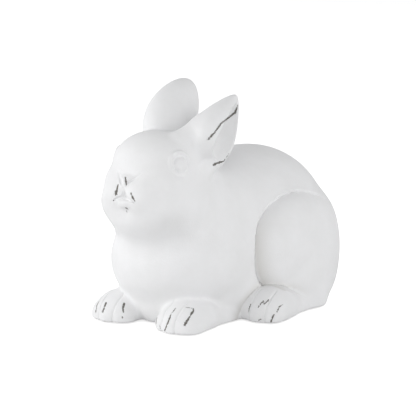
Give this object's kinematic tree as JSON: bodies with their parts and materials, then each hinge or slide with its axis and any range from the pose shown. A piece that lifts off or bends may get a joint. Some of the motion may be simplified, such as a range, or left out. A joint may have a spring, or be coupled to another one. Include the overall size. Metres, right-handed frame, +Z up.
{
  "type": "rabbit figurine",
  "caption": "Crouching rabbit ornament in white-painted cement with upright cupped ears, domed haunches, three-toed paws and a round tail, hollow underneath, standing on rubber pads.",
  "frame": {"origin": "on the ground under the middle of the figurine's length and width", "axes": "+X to the rabbit's left, -Y the way that it faces, +Z up"},
  "size_m": [0.1754, 0.2701, 0.2035],
  "materials": {
    "painted_cement": "matte white paint over cement, rubbed through to grey cement on the toes, ear rims and nose",
    "steel": "plain drawn steel",
    "rubber": "matte dark grey rubber"
  },
  "bodies": {
    "root": {"torso": "painted_cement", "head": "painted_cement", "ear_left": "painted_cement", "ear_right": "painted_cement", "haunch_left": "painted_cement", "haunch_right": "painted_cement", "hind_foot_left": "painted_cement", "hind_foot_right": "painted_cement", "forepaw_left": "painted_cement", "forepaw_right": "painted_cement", "tail": "painted_cement", "neck_dowel": "steel", "ear_wire_left": "steel", "ear_wire_right": "steel", "pad_front_left": "rubber", "pad_front_right": "rubber", "pad_rear_left": "rubber", "pad_rear_right": "rubber"}
  },
  "joints": []
}
